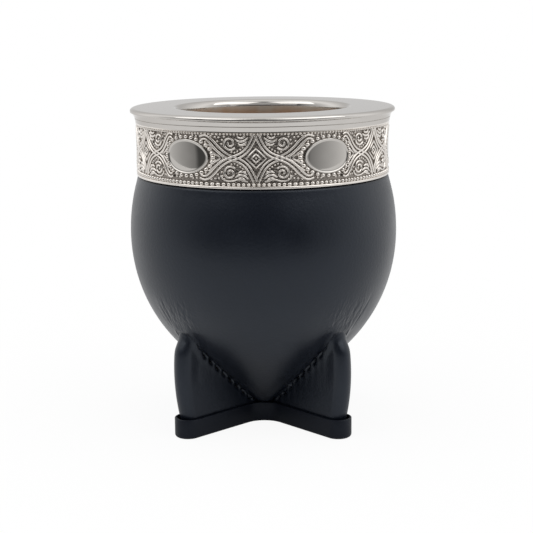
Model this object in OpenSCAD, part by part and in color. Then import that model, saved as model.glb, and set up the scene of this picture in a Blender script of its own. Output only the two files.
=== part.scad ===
// Mate cup: a gourd in a wet-formed leather sheath with four pinched fins,
// an X-shaped tray sole and a nickel-silver rim with a chiselled band.
// Millimetres, +Z up, the sole stands on z = 0 and the cup's axis is the Z axis.

/* [Overall] */
// Height from the table to the top of the mouth plate
cup_h = 97; // [88:0.5:112]
// Diameter of the belly over the leather
belly_d = 81.6; // [76:0.2:92]
// Distance from the top of the mouth plate down to the widest level of the belly
belly_drop = 38; // [32:0.5:46]
// Slope of the keel line, from upright, between the belly and the sole
keel_angle = 46.5; // [42:0.5:50]
// Radius of the side curve above the widest level
upper_arc = 56; // [50:0.5:80]

/* [Mouth plate] */
// Outer diameter of the plate
plate_d = 80; // [77:0.5:92]
// Thickness of the plate towards its outer edge
plate_t = 0.8; // [0.6:0.1:1.4]
// Radius of the plate's rounded outer edge
plate_edge = 0.4; // [0.2:0.05:0.5]
// Radius of the rolled mouth, and thickness of the plate where it sits on the gourd
mouth_roll = 1.7; // [1.5:0.1:2.4]
// Diameter of the drinking mouth
mouth_d = 50.6; // [40:0.2:54]
// Depth of the throat tube below the plate's top
throat_depth = 8; // [6:0.5:14]
// Wall of the throat tube
throat_t = 0.8; // [0.5:0.1:1.4]

/* [Collar] */
// Height of the hollow curve between the plate and the band
cove_h = 3.4; // [2.4:0.1:4.2]
// Depth of the hollow curve
cove_depth = 0.25; // [0.15:0.05:0.5]
// Distance that the hollow curve's upper edge stays inside the plate's edge
cove_inset = 0.1; // [0.1:0.1:0.8]
// Sheet thickness of the collar's sleeve
collar_t = 0.8; // [0.5:0.1:1.4]

/* [Chiselled band] */
// Height of the band
band_h = 16; // [13:0.1:22]
// Diameter over the band's plain lips
band_d = 76.8; // [74:0.2:78.4]
// Thickness of the strip under the ornament
strip_t = 0.8; // [0.5:0.1:1.4]
// Height of the lips above the sunken field
relief = 0.7; // [0.3:0.1:1]
// Width of the plain lower lip
lip_h = 0.8; // [0.5:0.1:1.6]
// Width of the plain upper lip
upper_lip_h = 0.4; // [0.3:0.1:1.2]
// Diameter of the bead moulding above the lower lip
bead_d = 1; // [0.6:0.1:1.4]
// Number of ovals round the band, with one star between each two
oval_count = 6; // [4:1:7]
// Width of an oval
oval_w = 14.2; // [9:0.2:15]
// Height of an oval
oval_h = 9.2; // [6:0.2:10]
// Width of the raised edge round an oval
oval_edge = 0.6; // [0.3:0.1:1]
// Width of a star
star_w = 13.4; // [9:0.2:15]
// Height of a star
star_h = 12; // [8:0.2:12.4]
// Turn of the ornament round the cup's axis
ornament_turn = -1; // [-30:0.1:30]

/* [Gourd and leather] */
// Wall of the gourd
gourd_wall = 6.5; // [4:0.5:9]
// Depth of the straight bore in the gourd's neck below the plate's top
bore_depth = 14; // [10:0.5:18]
// Height of the gourd's base above the table
gourd_base = 14; // [10:0.5:18]
// Thickness of the leather
leather_t = 1.6; // [1.2:0.1:2.2]
// Length of leather tucked up under the collar
tuck_h = 11; // [5:0.5:14]

/* [Fins] */
// Thickness of a fin
fin_t = 6.2; // [5.4:0.1:8]
// Reach of a fin's ridge from the cup's axis at its widest level
fin_reach = 36; // [32:0.5:40]
// Height of that widest level
fin_z = 20; // [14:0.5:24]
// Radius of the ridge line
fin_arc = 55; // [46:1:80]

/* [Seams] */
// Diameter of the thread
thread_d = 0.8; // [0.5:0.1:1]
// Number of stitches that show on each side of a fin
stitch_count = 8; // [4:1:8]
// Length of a stitch, and of the space between two stitches
stitch_l = 1.75; // [1.2:0.05:1.85]

/* [Sole] */
// Height of the sole's lip above the table
sole_h = 6; // [5:0.1:8]
// Thickness of the tray's floor
floor_t = 3.6; // [2.4:0.1:4.2]
// Thickness of the lip round the tray
lip_t = 0.8; // [0.5:0.1:1.4]
// Gap between a fin's toe and the lip
toe_gap = 0.8; // [0.3:0.1:1.6]
// Radius in the four inner corners of the sole
sole_fillet = 6.5; // [4:0.5:9]
// Radius of the sole's rounded edges
edge_r = 0.35; // [0.1:0.05:0.5]

/* [Fits] */
// Clearance between two metal pieces
metal_fit = 0.1; // [0.05:0.05:0.3]
// Clearance between leather and the piece it lies on
leather_fit = 0.2; // [0.1:0.05:0.4]
// Clearance of the thread in its holes
thread_fit = 0.05; // [0.02:0.01:0.1]

/* [Hidden] */
$fn = 96;
over = 1;
lap = 0.01;

// Radii of the rim, from the outside to the gourd's bore
plate_r = plate_d / 2;
band_r = band_d / 2;
field_r = band_r - relief;
sleeve_r = field_r - strip_t - metal_fit;
tuck_r = sleeve_r - collar_t - leather_fit;
neck_r = tuck_r - leather_t - leather_fit;
mouth_r = mouth_d / 2;
bore_r = mouth_r + throat_t + leather_fit;

// Heights of the rim
plate_z = cup_h - plate_t;
seat_z = cup_h - mouth_roll;
band_top = plate_z - cove_h;
cove_lower = [band_r, band_top];
cove_upper = [plate_r - cove_inset, plate_z];
band_z = band_top - band_h;
belly_z = cup_h - belly_drop;
shoulder_z = band_z - leather_fit;
ledge_z = shoulder_z - leather_t;
throat_z = cup_h - throat_depth;
bore_z = cup_h - bore_depth;

// The tray in the sole
belly_r = belly_d / 2;
tray_half = fin_t / 2 + leather_fit;
sole_half = tray_half + lip_t;
tray_corner = sqrt(2) * tray_half + (sqrt(2) - 1) * (sole_fillet + lip_t);
function ridge_r(z) = fin_reach - fin_arc + sqrt(pow(fin_arc, 2) - pow(z - fin_z, 2));
sole_reach = ridge_r(sole_h) + toe_gap + lip_t;

// The keel line starts at the tray's inner corner and runs into the belly's lower curve
keel_foot = [tray_corner - leather_fit, sole_h];
keel_rise = sin(keel_angle) * (belly_z - keel_foot[1]);
keel_fall = cos(keel_angle) * (belly_r - keel_foot[0]);
lower_arc = round(1000 * (keel_rise - keel_fall) / (1 - cos(keel_angle))) / 1000;
arc_c = [belly_r - lower_arc, belly_z];
function keel_pt(grow) =
  arc_c + (lower_arc + grow) * [cos(keel_angle), -sin(keel_angle)];
function keel_r(grow, z) = keel_pt(grow)[0] - (keel_pt(grow)[1] - z) * tan(keel_angle);

// The seam runs along the keel line, where the fin's side meets the belly
seam_out = thread_d / 2 + leather_fit;
seam_start = stitch_l;
seam_line = keel_pt(seam_out) - (keel_pt(0) - keel_foot);
function seam_at(i) = seam_line + (seam_start + i * stitch_l) * [sin(keel_angle), cos(keel_angle)];
function hole_at(i) = [sqrt(pow(seam_at(i)[0], 2) - pow(fin_t / 2, 2)), seam_at(i)[1]];
hole_count = 2 * stitch_count;
stiffener_gap = seam_out + thread_d + leather_fit;
stiffener_wall = leather_t + leather_fit;
fin_turns = [-135, -45, 45, 135];

nickel = [0.76, 0.75, 0.73];
leather = [0.09, 0.09, 0.1];
shell = [0.62, 0.46, 0.28];

// Half section of the belly, with its surface moved outward by grow
module belly_section(grow, z_lo, z_hi) {
  touch = keel_pt(grow - lap);
  polygon([[0, z_lo], [max(0.1, keel_r(grow - lap, z_lo)), z_lo], touch, [0, touch[1]]]);
  belly_arcs(grow, z_lo, z_hi);
}

// The two arcs of the belly between two heights
module belly_arcs(grow, z_lo, z_hi) {
  wide = belly_r + grow + over;
  intersection() {
    translate(arc_c) circle(r = lower_arc + grow);
    translate([0, z_lo]) square([wide, belly_z - z_lo]);
  }
  if (z_hi > belly_z)
    intersection() {
      translate([belly_r - upper_arc, belly_z]) circle(r = upper_arc + grow);
      translate([0, belly_z]) square([wide, z_hi - belly_z]);
    }
}

// Round-edged disc that a fin is cut from, lying on its side with its rim on the ridge line
module ridge_disc(shrink) {
  half = fin_t / 2 - shrink;
  rim = fin_arc - shrink;
  translate([fin_reach - fin_arc, 0, fin_z])
    rotate([90, 0, 0])
      rotate_extrude() {
        translate([0, -half]) square([rim - half, 2 * half]);
        intersection() {
          translate([rim - half, 0]) circle(r = half);
          translate([rim - half, -half]) square([half, 2 * half]);
        }
      }
}

// One fin along +X, from a height up into the belly
module fin(shrink, z_lo) {
  intersection() {
    ridge_disc(shrink);
    translate([0, -fin_t, z_lo]) cube([fin_reach + over, 2 * fin_t, belly_z - z_lo]);
  }
}

// Pocket of a fin outside the seam, along +X
module pocket(shrink, z_lo) {
  difference() {
    fin(shrink, z_lo);
    rotate_extrude() belly_section(stiffener_gap + shrink - leather_t, z_lo - over, belly_z + over);
  }
}

// X-shaped outline with round ends and filled inner corners
module cross_outline(half, reach, fillet) {
  corner = half + fillet;
  for (turn = [0, 90]) rotate(turn) {
    square([2 * (reach - half), 2 * half], center = true);
    for (side = [-1, 1]) translate([side * (reach - half), 0]) circle(r = half);
  }
  difference() {
    square(2 * corner, center = true);
    for (turn = [0:90:270]) rotate(turn) translate([corner, corner]) circle(r = fillet);
  }
}

module mouth_plate() {
  color(nickel)
    rotate_extrude() {
      translate([mouth_r + mouth_roll, plate_z])
        square([plate_r - plate_edge - mouth_r - mouth_roll, plate_t]);
      translate([mouth_r + mouth_roll, seat_z])
        square([neck_r - mouth_r - mouth_roll, mouth_roll]);
      translate([plate_r - plate_edge, plate_z]) square([plate_edge, plate_t - plate_edge]);
      intersection() {
        translate([plate_r - plate_edge, cup_h - plate_edge]) circle(r = plate_edge);
        translate([plate_r - plate_edge, cup_h - plate_edge]) square(plate_edge);
      }
      intersection() {
        translate([mouth_r + mouth_roll, seat_z]) circle(r = mouth_roll);
        translate([mouth_r, seat_z]) square(mouth_roll);
      }
      translate([mouth_r, throat_z]) square([throat_t, seat_z - throat_z]);
    }
}

module flared_collar() {
  inner_r = sleeve_r - collar_t;
  span = cove_upper - cove_lower;
  chord = norm(span);
  curve_r = (pow(chord / 2, 2) + pow(cove_depth, 2)) / (2 * cove_depth);
  away = [span[1], -span[0]] / chord * (curve_r - cove_depth);
  color(nickel)
    rotate_extrude() {
      translate([inner_r, band_z + lip_h]) square([collar_t, band_top - band_z - lip_h]);
      difference() {
        polygon([[inner_r, band_top], cove_lower, cove_upper, cove_upper - [collar_t, 0]]);
        translate((cove_lower + cove_upper) / 2 + away) circle(r = curve_r);
      }
    }
}

// Ring between two radii over the band's height
module band_shell(r_in, r_out) {
  rotate_extrude() translate([r_in, band_z]) square([r_out - r_in, band_h]);
}

// Upright outline pressed outward on +X, to be cut to the band's curve
module pressed(depth) {
  mid = (band_z + lip_h + bead_d + band_top - upper_lip_h) / 2;
  translate([0, 0, mid]) rotate([90, 0, 90]) linear_extrude(band_r + depth) children();
}

module oval(w, h) {
  polygon([for (i = [0:47]) [w / 2 * cos(i * 7.5), h / 2 * sin(i * 7.5)]]);
}

module star() {
  waist = 0.19;
  polygon([for (i = [0:7]) i % 2 == 0
    ? [star_w / 2 * cos(i * 45), star_h / 2 * sin(i * 45)]
    : [star_w * waist * cos(i * 45), star_h * waist * sin(i * 45)]]);
}

module chiselled_band() {
  root_r = field_r - strip_t / 2;
  step = 360 / oval_count;
  color(nickel) {
    rotate_extrude() {
      translate([field_r - strip_t, band_z]) square([strip_t, band_h]);
      translate([root_r, band_z]) square([band_r - root_r, lip_h]);
      translate([root_r, band_top - upper_lip_h]) square([band_r - root_r, upper_lip_h]);
      intersection() {
        translate([field_r, band_z + lip_h + bead_d / 2]) circle(r = bead_d / 2);
        translate([root_r, band_z + lip_h]) square([2 * bead_d, bead_d]);
      }
    }
    rotate(ornament_turn - 90) for (i = [0:oval_count - 1]) rotate(i * step) {
      intersection() {
        pressed(over) star();
        band_shell(root_r, field_r + relief * 0.7);
      }
      rotate(step / 2) {
        intersection() {
          pressed(over) oval(oval_w - 2 * oval_edge, oval_h - 2 * oval_edge);
          band_shell(root_r, field_r + relief * 0.6);
        }
        intersection() {
          pressed(over) difference() {
            oval(oval_w, oval_h);
            oval(oval_w - 2.5 * oval_edge, oval_h - 2.5 * oval_edge);
          }
          band_shell(root_r, band_r);
        }
      }
    }
  }
}

module gourd() {
  skin = leather_t + leather_fit;
  hollow = skin + gourd_wall;
  narrowing = belly_r - hollow - bore_r;
  hollow_arc = round(500 * (narrowing + pow(bore_z - belly_z, 2) / narrowing)) / 1000;
  color(shell)
    difference() {
      rotate_extrude() {
        belly_arcs(-skin, gourd_base, ledge_z - leather_fit);
        translate([0, ledge_z - leather_fit]) square([neck_r, seat_z - ledge_z + leather_fit]);
      }
      rotate_extrude() {
        belly_arcs(-hollow, gourd_base + gourd_wall, belly_z);
        intersection() {
          translate([belly_r - hollow - hollow_arc, belly_z]) circle(r = hollow_arc);
          translate([0, belly_z]) square([belly_r, bore_z + over - belly_z]);
        }
        translate([0, belly_z]) square([bore_r, cup_h - belly_z]);
      }
    }
}

module leather_sheath() {
  color(leather)
    difference() {
      union() {
        rotate_extrude() {
          belly_section(0, floor_t, shoulder_z);
          translate([0, belly_z]) square([tuck_r, shoulder_z + tuck_h - belly_z]);
        }
        for (turn = fin_turns) rotate(turn) fin(0, floor_t);
      }
      rotate_extrude() {
        belly_section(-leather_t, floor_t - over, ledge_z);
        translate([0, belly_z]) square([neck_r + leather_fit, cup_h - belly_z]);
      }
      for (turn = fin_turns) rotate(turn) {
        pocket(leather_t, floor_t - over);
        for (i = [0:hole_count - 1])
          translate([hole_at(i)[0], 0, hole_at(i)[1]])
            rotate([90, 0, 0])
              cylinder(r = thread_d * 0.45 + thread_fit, h = 2 * fin_t, center = true);
      }
    }
}

module foot_stiffener(turn) {
  color(leather) rotate(turn) pocket(stiffener_wall, floor_t);
}

// Straight round length of thread between two points
module thread_run(a, b) {
  run = b - a;
  translate(a)
    rotate([0, acos(run[2] / norm(run)), atan2(run[1], run[0])])
      cylinder(r = thread_d / 2, h = norm(run));
}

module seam_thread(turn) {
  side = fin_t / 2 + thread_d / 2;
  past = [sin(keel_angle), 0, cos(keel_angle)] * thread_d * 0.6;
  color(leather)
    rotate(turn) {
      for (i = [0:hole_count - 1])
        translate([hole_at(i)[0], 0, hole_at(i)[1]])
          rotate([90, 0, 0])
            cylinder(r = thread_d * 0.45, h = 2 * side, center = true);
      for (i = [0:hole_count - 2]) {
        face = i % 2 == 0 ? side : -side;
        thread_run([hole_at(i)[0], face, hole_at(i)[1]] - past,
          [hole_at(i + 1)[0], face, hole_at(i + 1)[1]] + past);
      }
    }
}

// Section of a sole arm, standing on its lower edge
module arm_section() {
  translate([edge_r - sole_half, 0]) square([2 * (sole_half - edge_r), sole_h]);
  translate([-sole_half, edge_r]) square([2 * sole_half, sole_h - 2 * edge_r]);
  for (side = [-1, 1]) for (z = [edge_r, sole_h - edge_r])
    translate([side * (sole_half - edge_r), z]) circle(r = edge_r);
}

// Cutter for an inner corner, flared so that the corner's edges stay round
module corner_cutter() {
  rotate_extrude()
    difference() {
      square([sole_fillet + edge_r, sole_h]);
      translate([sole_fillet, edge_r]) square([2 * edge_r, sole_h - 2 * edge_r]);
      for (z = [edge_r, sole_h - edge_r])
        translate([sole_fillet + edge_r, z]) circle(r = edge_r);
    }
}

module sole() {
  arm = sole_reach - sole_half;
  corner = sole_half + sole_fillet;
  color(leather)
    rotate(45) difference() {
      union() {
        for (turn = [0, 90]) rotate(turn) {
          rotate([90, 0, 90]) linear_extrude(2 * arm, center = true) arm_section();
          for (side = [-1, 1]) translate([side * arm, 0, 0])
            rotate_extrude() intersection() {
              arm_section();
              square([sole_half, sole_h]);
            }
        }
        difference() {
          translate([-corner, -corner, 0]) cube([2 * corner, 2 * corner, sole_h]);
          for (turn = [0:90:270]) rotate(turn) translate([corner, corner, 0]) corner_cutter();
        }
      }
      translate([0, 0, floor_t]) linear_extrude(sole_h)
        cross_outline(tray_half, sole_reach - lip_t, sole_fillet + lip_t);
    }
}

mouth_plate();
flared_collar();
chiselled_band();
gourd();
leather_sheath();
foot_stiffener(-135);  // foot_stiffener_front_left
foot_stiffener(-45);  // foot_stiffener_front_right
foot_stiffener(45);  // foot_stiffener_back_right
foot_stiffener(135);  // foot_stiffener_back_left
seam_thread(-135);  // seam_thread_front_left
seam_thread(-45);  // seam_thread_front_right
seam_thread(45);  // seam_thread_back_right
seam_thread(135);  // seam_thread_back_left
sole();
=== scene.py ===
# %% [markdown]
# # A mate cup in leather and chased metal
# This lesson dresses the CAD model of a mate cup: a polished rim, a chased band, a gourd in a
# wet-formed leather sheath with four pinched fins, and an X-shaped tray sole. The frame holds the
# solids at their true places, and each piece that is modelled here takes the place of one of them.
# Sizes are written in millimetres, as in a workshop, and `MM` brings them to Blender's metres.

# %% Load the frame
from math import atan2, copysign, cos, degrees, dist, exp, hypot, pi, radians, sin, sqrt, tan
import bmesh
import bpy
from mathutils import Matrix, Vector, noise


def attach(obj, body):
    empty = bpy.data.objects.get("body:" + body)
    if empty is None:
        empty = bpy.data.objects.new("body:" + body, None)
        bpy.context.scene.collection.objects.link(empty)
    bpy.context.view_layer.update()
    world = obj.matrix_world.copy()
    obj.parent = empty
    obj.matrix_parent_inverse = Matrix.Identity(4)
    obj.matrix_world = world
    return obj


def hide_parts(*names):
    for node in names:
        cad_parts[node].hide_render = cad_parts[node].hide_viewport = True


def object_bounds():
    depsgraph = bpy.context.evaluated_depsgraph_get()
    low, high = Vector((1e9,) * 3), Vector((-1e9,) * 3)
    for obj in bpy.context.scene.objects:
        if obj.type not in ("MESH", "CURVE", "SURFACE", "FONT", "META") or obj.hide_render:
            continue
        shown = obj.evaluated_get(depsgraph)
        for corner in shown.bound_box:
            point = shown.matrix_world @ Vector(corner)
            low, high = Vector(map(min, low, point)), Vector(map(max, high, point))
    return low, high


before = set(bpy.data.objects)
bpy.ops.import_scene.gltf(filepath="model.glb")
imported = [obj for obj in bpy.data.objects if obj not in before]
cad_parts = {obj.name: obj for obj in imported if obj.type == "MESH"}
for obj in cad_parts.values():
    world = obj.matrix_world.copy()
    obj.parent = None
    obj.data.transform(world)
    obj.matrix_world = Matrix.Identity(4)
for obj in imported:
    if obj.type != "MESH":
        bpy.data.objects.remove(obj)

MM = 0.001
cad_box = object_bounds()
cup_top = round(cad_box[1][2] / MM, 2)
print("CAD nodes:", len(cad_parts), "box:", [tuple(corner) for corner in cad_box])

# %% [markdown]
# ## The camera
# The photograph was taken from a little above the rim, with a lens that hardly spreads the shape.
# Place, tilt and lens were worked out from the rim's ellipses and the sole's outline, so that a
# point of the model falls on its pixel. The cup was turned a little, so the camera goes round it
# by the same angle the other way. The tiny roll keeps the rim's slant.

# %% Camera
def added(operator, **settings):
    """Add an object with one of Blender's operators, and return it."""
    bpy.ops.object.select_all(action="DESELECT")
    operator(**settings)
    return bpy.context.object


pitch, roll, orbit = radians(11.473), radians(-0.54), radians(1.7)
tripod, lens, sensor_width = Vector((0.805, -400.0, 128.484)), 88.85, 36
round_cup = Matrix.Rotation(orbit, 3, "Z")
camera = added(bpy.ops.object.camera_add, location=round_cup @ tripod * MM)
aim = Matrix.Rotation(pi / 2 - pitch, 3, "X") @ Matrix.Rotation(roll, 3, "Z")
camera.rotation_euler = (round_cup @ aim).to_euler()
camera.data.sensor_width = sensor_width
camera.data.lens = lens
bpy.context.scene.camera = camera
bpy.context.scene.view_settings.view_transform = "Standard"
print("camera at", tuple(camera.location))

# %% [markdown]
# ## The studio
# The cup stands in a white tent with an opening towards the camera. Polished metal and smooth
# leather show that tent: light at the sides and above, and a dark patch in front. Lamps alone
# would leave hot spots, so a world shader reads the direction of each ray. `facing` is 1 towards
# the opening and -1 towards the back wall, and the walls grow darker towards the opening. Camera
# rays see plain white.

# %% A helper for shader nodes
def fill(made, inputs):
    """Link a shader node's inputs to other nodes, or set their values."""
    for socket, value in inputs.items():
        if isinstance(value, bpy.types.NodeSocket):
            made.id_data.links.new(value, made.inputs[socket])
        else:
            made.inputs[socket].default_value = value


def node(near, kind, inputs=None, **settings):
    """Add a shader node to the tree that something belongs to, and fill its inputs."""
    made = near.id_data.nodes.new(kind)
    for name, value in settings.items():
        setattr(made, name, value)
    fill(made, inputs or {})
    return made


def math_node(operation, first, second=0.0):
    """Add a Math node and return its result."""
    made = node(first, "ShaderNodeMath", {0: first, 1: second}, operation=operation)
    return made.outputs[0]


def times(first, second):
    """Multiply two values of a shader."""
    return math_node("MULTIPLY", first, second)


def axes(vector):
    """The X, Y and Z of a vector in a shader."""
    return node(vector, "ShaderNodeSeparateXYZ", {"Vector": vector}).outputs


def ranged(value, low, high, to_low, to_high, smooth=False):
    """Map a value from one range to another, held at both ends."""
    kind = "SMOOTHSTEP" if smooth else "LINEAR"
    made = node(value, "ShaderNodeMapRange", {"Value": value, "From Min": low, "From Max": high,
                "To Min": to_low, "To Max": to_high}, interpolation_type=kind)
    return made.outputs["Result"]

# %% Tent
opening_way, opening_lean = (-0.156, -0.988, 0.0), 0.2
bright_wall, dim_wall, back_wall, dark_opening = 1.22, 0.24, 0.63, 0.36
world = bpy.data.worlds.new("white_tent")
bpy.context.scene.world = world
world.use_nodes = True
tree = world.node_tree
tent = tree.nodes["Background"]
direction = node(tree, "ShaderNodeTexCoord").outputs["Generated"]
front = node(tree, "ShaderNodeVectorMath", {0: direction, 1: opening_way}, operation="DOT_PRODUCT")
upward = math_node("MAXIMUM", axes(direction)["Z"], 0.0)
facing = math_node("SUBTRACT", front.outputs["Value"], times(upward, opening_lean))
walls = times(ranged(facing, -0.3, 0.72, bright_wall, dim_wall),
              ranged(facing, -1.0, -0.4, back_wall, 1.0))
tent_level = times(walls, ranged(facing, 0.63, 0.69, 1.0, dark_opening))
seen = node(tree, "ShaderNodeLightPath").outputs["Is Camera Ray"]
level = node(tree, "ShaderNodeMix", {"Factor": seen, "A": tent_level, "B": 1.0}).outputs["Result"]
fill(tent, {"Strength": level, "Color": (1.0, 1.0, 1.0, 1.0)})
print("tent ready, walls from", back_wall, "to", bright_wall)

# %% [markdown]
# ## The table
# A big round table top carries the cup. Its front edge lies about 0.3 m before the cup, so that
# the flattest reflections look past it into the dark opening. For the camera and in reflections
# it is nearly white glow, and the rest of its colour is true matte paint, so it keeps a soft
# shadow. Round the foot the glow gives way to the paint, and in reflections this is a painted shadow.

# %% Table
def settle(location=False, rotation=False, scale=False):
    """Make an object's own place, turn or scale part of its mesh."""
    bpy.ops.object.transform_apply(location=location, rotation=rotation, scale=scale)


table_r, front_edge = 1.0, 0.31
table = added(bpy.ops.mesh.primitive_circle_add, vertices=128, radius=table_r, fill_type="NGON",
              location=(0, table_r - front_edge, 0))
settle(location=True)
table.name = "table_top"
paint = bpy.data.materials.new("white_paint")
paint.use_nodes = True
tree = paint.node_tree
tree.nodes.remove(tree.nodes["Principled BSDF"])
path = node(tree, "ShaderNodeLightPath").outputs
spot = node(tree, "ShaderNodeTexCoord").outputs["Object"]
away = node(tree, "ShaderNodeVectorMath", {0: spot}, operation="LENGTH").outputs["Value"]
whiteness = ranged(away, 40 * MM, 240 * MM, 0.92, 1.0)
straight = times(path["Is Camera Ray"], whiteness)
in_mirror = math_node("MAXIMUM", path["Is Glossy Ray"], path["Is Transmission Ray"])
# Painted shadow: near the foot, reflections see little glow and mostly the matte paint.
glow_past_painted_shadow = ranged(away, 34 * MM, 62 * MM, 0.08, 1.0, smooth=True)
share = math_node("MAXIMUM", straight, times(in_mirror, glow_past_painted_shadow))
matte = node(tree, "ShaderNodeBsdfDiffuse", {"Color": (0.85, 0.85, 0.85, 1.0)})
glow = node(tree, "ShaderNodeEmission", {"Color": (1.0, 1.0, 1.0, 1.0), "Strength": 1.0})
both = node(tree, "ShaderNodeMixShader", {"Fac": share, 1: matte.outputs[0], 2: glow.outputs[0]})
fill(tree.nodes["Material Output"], {"Surface": both.outputs[0]})
table.data.materials.append(paint)
print("table top ready, its edge", front_edge, "m before the cup")

# %% [markdown]
# ## The windows
# Two big soft windows, left and right above the camera, give the leather its broad side lights
# and the rim its bright ends. They are plain area lamps, at a level where a colour renders about
# as it is written. A helper adds a lamp that faces a point.

# %% A soft lamp
def soft_lamp(name, place, target, size, power):
    """Add an area lamp that faces a point; places and sizes are in metres."""
    lamp = added(bpy.ops.object.light_add, type="AREA", location=place)
    lamp.name = name
    lamp.rotation_euler = (target - lamp.location).to_track_quat("-Z", "Y").to_euler()
    lamp.data.shape = "RECTANGLE"
    lamp.data.size, lamp.data.size_y = size
    lamp.data.energy = power
    print(name, "power", lamp.data.energy)
    return lamp

# %% Windows
near_rim, rise = Vector((0, 0, 0.09)), radians(44)
for name, bearing in (("left_window", -53), ("right_window", 51)):
    turn = radians(bearing)
    way = Vector((sin(turn) * cos(rise), -cos(turn) * cos(rise), sin(rise)))
    soft_lamp(name, near_rim + way, near_rim, size=(1.0, 0.75), power=3.2)

# %% [markdown]
# ## The metal finishes
# Nickel silver is a slightly warm white metal. On the polished rim the only texture is what a
# buffing wheel leaves: soft changes of gloss and hair-fine marks that run round the axis. In the
# throat the metal is duller, and its colour turns brown and darker towards the bottom. On the
# chased band the hollows are dark and dull, partly patina and partly painted shade, and the
# heights are worn bright, and the ovals are mirrors, which an attribute of their own marks. The
# patterns read Object coordinates, which are metres here, so a noise scale of 500 means 2 mm.

# %% Start a finish
def new_finish(name):
    """Make a material; return it with its shader and its object coordinates."""
    finish = bpy.data.materials.new(name)
    finish.use_nodes = True
    surface = finish.node_tree.nodes["Principled BSDF"]
    print("finish:", finish.name)
    return finish, surface, node(surface, "ShaderNodeTexCoord").outputs["Object"]


def noise_at(place, scale, detail=2.0, stretch=(1.0, 1.0, 1.0)):
    """Noise of a given scale, which may be stretched along an axis."""
    seat = node(place, "ShaderNodeMapping", {"Vector": place, "Scale": stretch}).outputs["Vector"]
    made = node(place, "ShaderNodeTexNoise", {"Vector": seat, "Scale": scale, "Detail": detail})
    return made.outputs["Fac"]


def two_tones(value, low, high, dark, light):
    """Colour ramp between two colours over part of a value's range."""
    made = node(value, "ShaderNodeValToRGB", {"Fac": value})
    for stop, share, colour in zip(made.color_ramp.elements, (low, high), (dark, light)):
        stop.position = share
        stop.color = (*colour, 1.0)
    return made.outputs["Color"]


def raised_by(surface, heights, strength):
    """Chain bump nodes, given as pairs of a height and its depth in metres, into a shader."""
    normal = None
    for height, deep in heights:
        inputs = {"Height": height, "Distance": deep, "Strength": strength}
        if normal:
            inputs["Normal"] = normal
        normal = node(surface, "ShaderNodeBump", inputs).outputs["Normal"]
    fill(surface, {"Normal": normal})

# %% Polished metal
mouth_r = 25.3


def from_axis(place):
    """Distance of a point from the cup's axis."""
    split = axes(place)
    squares = [times(split[axis], split[axis]) for axis in ("X", "Y")]
    return math_node("SQRT", math_node("ADD", *squares))


polished_metal, surface, place = new_finish("polished_metal")
cloud = noise_at(place, 70.0)
marks = noise_at(place, 240.0, 4.0, (1.0, 1.0, 14.0))
buffed = two_tones(cloud, 0.3, 0.7, (0.515, 0.494, 0.470), (0.565, 0.544, 0.520))
depth = axes(place)["Z"]
inside = ranged(from_axis(place), (mouth_r + 0.1) * MM, (mouth_r + 0.2) * MM, 1.0, 0.0)
below = ranged(depth, (cup_top - 2.12) * MM, (cup_top - 1.94) * MM, 1.0, 0.0)
throat_wall = times(inside, below)
# In the throat the metal is duller, and its colour turns brown and darker towards the bottom, along an
# uneven edge.
waver = noise_at(place, 130.0, 3.0, (1.0, 1.0, 0.12))
runs = math_node("ADD", depth, ranged(waver, 0.35, 0.65, -0.8 * MM, 0.8 * MM))
low_down = ranged(runs, (cup_top - 4.8) * MM, (cup_top - 2.0) * MM, 1.0, 0.0)
browner_below = two_tones(low_down, 0.0, 1.0, (0.66, 0.61, 0.54), (0.52, 0.34, 0.22))
throat_toned = node(place, "ShaderNodeMix", {0: throat_wall, 6: buffed, 7: browner_below}, data_type="RGBA")
satin = times(throat_wall, 0.30)
gloss = math_node("ADD", ranged(cloud, 0.3, 0.7, 0.05, 0.10), satin)
fill(surface, {"Base Color": throat_toned.outputs[2], "Roughness": gloss, "Metallic": 1.0,
               "Specular Tint": (0.80, 0.79, 0.78, 1.0)})
raised_by(surface, [(marks, 0.02 * MM)], 0.12)

# %% Chased metal
field_r, worn_h = 37.7, 0.25
chased_metal, surface, place = new_finish("chased_metal")
height = ranged(from_axis(place), field_r * MM, (field_r + worn_h) * MM, 0.0, 1.0, smooth=True)
stain = noise_at(place, 500.0, 3.0)
worn = math_node("ADD", height, ranged(stain, 0.35, 0.65, -0.12, 0.10))
mirror = node(place, "ShaderNodeAttribute", attribute_name="mirror").outputs["Fac"]
# Dark in the hollows: partly the band's patina, partly painted shade. Light on the worn heights.
patina_and_painted_shade = two_tones(worn, 0.05, 0.75, (0.25, 0.226, 0.203), (0.69, 0.653, 0.612))
toned = node(place, "ShaderNodeMix", {0: mirror, 6: patina_and_painted_shade, 7: (0.50, 0.479, 0.452, 1.0)},
             data_type="RGBA")
dull = ranged(worn, 0.0, 1.0, 0.30, 0.17)
gloss = math_node("SUBTRACT", dull, ranged(mirror, 0.0, 1.0, 0.0, 0.13))
fill(surface, {"Base Color": toned.outputs[2], "Roughness": gloss, "Metallic": 1.0})
punch = node(place, "ShaderNodeTexVoronoi", {"Vector": place, "Scale": 2000.0}).outputs["Distance"]
sunken = times(punch, ranged(height, 0.0, 0.6, 1.0, 0.0))
raised_by(surface, [(sunken, 0.2 * MM)], 0.5)

# %% [markdown]
# ## Leather, thread, rubber and gourd
# The sheath is smooth dyed leather: almost black with a cold tint, a dull sheen and a grain that
# only shows up close. The colour stays plain, and the gloss changes in soft clouds, as where
# hands have polished it. Above the fins it is drawn into fine upright marks. The sole is satin
# rubber, the thread is waxed, and the gourd is bare.

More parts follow.
